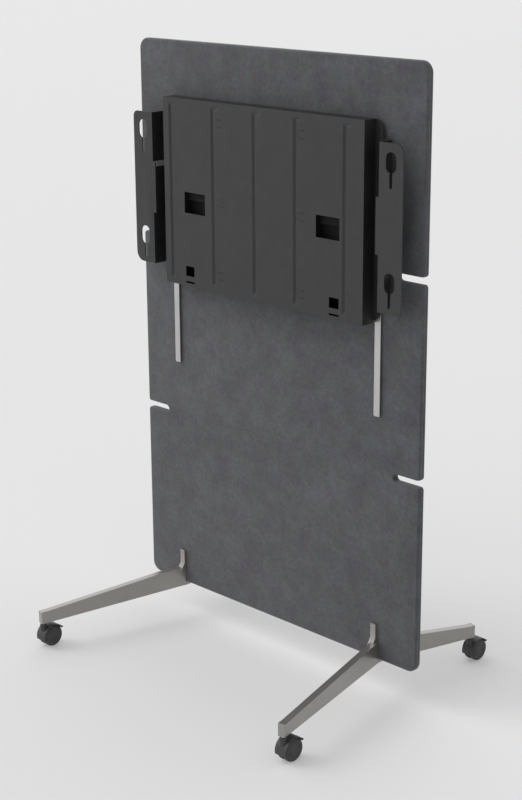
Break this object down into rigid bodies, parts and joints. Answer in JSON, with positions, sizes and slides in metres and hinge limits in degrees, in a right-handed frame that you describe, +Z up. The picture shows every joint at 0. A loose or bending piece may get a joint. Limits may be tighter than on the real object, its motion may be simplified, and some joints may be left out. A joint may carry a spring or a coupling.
{
  "type": "mobile partition wall",
  "caption": "Free-standing felt-covered partition on V-shaped feet with braked castors, carrying a height-adjustable sheet-metal wall box with keyholed ears for a display.",
  "frame": {"origin": "on the floor, below the middle of the wall's footprint", "axes": "+Z up, the mount side faces -Y, +X to the right when facing the mount"},
  "size_m": [1.048, 0.8543, 1.695],
  "materials": {
    "felt": "matte moulded felt, dark grey with a fine mottle",
    "core_board": "plain board, not visible",
    "rail_metal": "satin anodised, faint lengthwise grain",
    "foot_metal": "satin warm grey metallic",
    "black_sheet": "black powder coat, satin",
    "zinc_fasteners": "zinc plated",
    "castor_plastic": "black moulded plastic, fine texture",
    "castor_tread": "black soft tread",
    "black_plastic": "matte black moulded plastic"
  },
  "bodies": {
    "wall": {"castor_front_left_stem": "zinc_fasteners", "castor_front_right_stem": "zinc_fasteners", "castor_rear_left_stem": "zinc_fasteners", "castor_rear_right_stem": "zinc_fasteners", "core_board": "core_board", "foot_left_front_arm": "foot_metal", "foot_left_rear_arm": "foot_metal", "foot_left_screw_lower": "zinc_fasteners", "foot_left_screw_upper": "zinc_fasteners", "foot_right_front_arm": "foot_metal", "foot_right_rear_arm": "foot_metal", "foot_right_screw_lower": "zinc_fasteners", "foot_right_screw_upper": "zinc_fasteners", "front_felt_shell": "felt", "mount_rail_left": "rail_metal", "mount_rail_right": "rail_metal", "rail_screw_lower_left": "zinc_fasteners", "rail_screw_lower_right": "zinc_fasteners", "rail_screw_upper_left": "zinc_fasteners", "rail_screw_upper_right": "zinc_fasteners", "rear_felt_shell": "felt"},
    "mount": {"clamp_screw_lower_left": "black_sheet", "clamp_screw_lower_right": "black_sheet", "clamp_screw_upper_left": "black_sheet", "clamp_screw_upper_right": "black_sheet", "cover_standoff_lower_left": "black_sheet", "cover_standoff_lower_right": "black_sheet", "cover_standoff_middle_left": "black_sheet", "cover_standoff_middle_right": "black_sheet", "cover_standoff_upper_left": "black_sheet", "cover_standoff_upper_right": "black_sheet", "grip_tray_left": "black_plastic", "grip_tray_right": "black_plastic", "guide_shoe_left": "black_plastic", "guide_shoe_right": "black_plastic", "mount_back_plate": "black_sheet", "mount_cover": "black_sheet", "side_bracket_left": "black_sheet", "side_bracket_right": "black_sheet"},
    "castor_front_left_swivel": {"castor_front_left_hood": "castor_plastic"},
    "castor_front_left_wheels": {"castor_front_left_axle": "zinc_fasteners", "castor_front_left_wheel_left": "castor_tread", "castor_front_left_wheel_right": "castor_tread"},
    "castor_front_left_brake": {"castor_front_left_brake": "castor_plastic"},
    "castor_front_right_swivel": {"castor_front_right_hood": "castor_plastic"},
    "castor_front_right_wheels": {"castor_front_right_axle": "zinc_fasteners", "castor_front_right_wheel_left": "castor_tread", "castor_front_right_wheel_right": "castor_tread"},
    "castor_front_right_brake": {"castor_front_right_brake": "castor_plastic"},
    "castor_rear_left_swivel": {"castor_rear_left_hood": "castor_plastic"},
    "castor_rear_left_wheels": {"castor_rear_left_axle": "zinc_fasteners", "castor_rear_left_wheel_left": "castor_tread", "castor_rear_left_wheel_right": "castor_tread"},
    "castor_rear_left_brake": {"castor_rear_left_brake": "castor_plastic"},
    "castor_rear_right_swivel": {"castor_rear_right_hood": "castor_plastic"},
    "castor_rear_right_wheels": {"castor_rear_right_axle": "zinc_fasteners", "castor_rear_right_wheel_left": "castor_tread", "castor_rear_right_wheel_right": "castor_tread"},
    "castor_rear_right_brake": {"castor_rear_right_brake": "castor_plastic"}
  },
  "joints": [
    {"name": "mount_height", "type": "slide", "parent": "wall", "child": "mount", "axis": [0, 0, 1], "range_m": [-0.3, 0]},
    {"name": "castor_front_left_turn", "type": "hinge", "parent": "wall", "child": "castor_front_left_swivel", "pos_m": [-0.48231, -0.41618, 0.0747], "axis": [0, 0, 1], "continuous": true},
    {"name": "castor_front_left_roll", "type": "hinge", "parent": "castor_front_left_swivel", "child": "castor_front_left_wheels", "pos_m": [-0.48231, -0.39218, 0.031], "axis": [1, 0, 0], "continuous": true},
    {"name": "castor_front_left_brake_press", "type": "hinge", "parent": "castor_front_left_swivel", "child": "castor_front_left_brake", "pos_m": [-0.48231, -0.36687, 0.0534], "axis": [-1, 0, 0], "range_deg": [0, 12]},
    {"name": "castor_front_right_turn", "type": "hinge", "parent": "wall", "child": "castor_front_right_swivel", "pos_m": [0.48231, -0.41618, 0.0747], "axis": [0, 0, 1], "continuous": true},
    {"name": "castor_front_right_roll", "type": "hinge", "parent": "castor_front_right_swivel", "child": "castor_front_right_wheels", "pos_m": [0.48231, -0.39218, 0.031], "axis": [1, 0, 0], "continuous": true},
    {"name": "castor_front_right_brake_press", "type": "hinge", "parent": "castor_front_right_swivel", "child": "castor_front_right_brake", "pos_m": [0.48231, -0.36687, 0.0534], "axis": [-1, 0, 0], "range_deg": [0, 12]},
    {"name": "castor_rear_left_turn", "type": "hinge", "parent": "wall", "child": "castor_rear_left_swivel", "pos_m": [-0.4532, 0.36551, 0.0747], "axis": [0, 0, 1], "continuous": true},
    {"name": "castor_rear_left_roll", "type": "hinge", "parent": "castor_rear_left_swivel", "child": "castor_rear_left_wheels", "pos_m": [-0.4532, 0.38951, 0.031], "axis": [1, 0, 0], "continuous": true},
    {"name": "castor_rear_left_brake_press", "type": "hinge", "parent": "castor_rear_left_swivel", "child": "castor_rear_left_brake", "pos_m": [-0.4532, 0.41482, 0.0534], "axis": [-1, 0, 0], "range_deg": [0, 12]},
    {"name": "castor_rear_right_turn", "type": "hinge", "parent": "wall", "child": "castor_rear_right_swivel", "pos_m": [0.4532, 0.36551, 0.0747], "axis": [0, 0, 1], "continuous": true},
    {"name": "castor_rear_right_roll", "type": "hinge", "parent": "castor_rear_right_swivel", "child": "castor_rear_right_wheels", "pos_m": [0.4532, 0.38951, 0.031], "axis": [1, 0, 0], "continuous": true},
    {"name": "castor_rear_right_brake_press", "type": "hinge", "parent": "castor_rear_right_swivel", "child": "castor_rear_right_brake", "pos_m": [0.4532, 0.41482, 0.0534], "axis": [-1, 0, 0], "range_deg": [0, 12]}
  ]
}
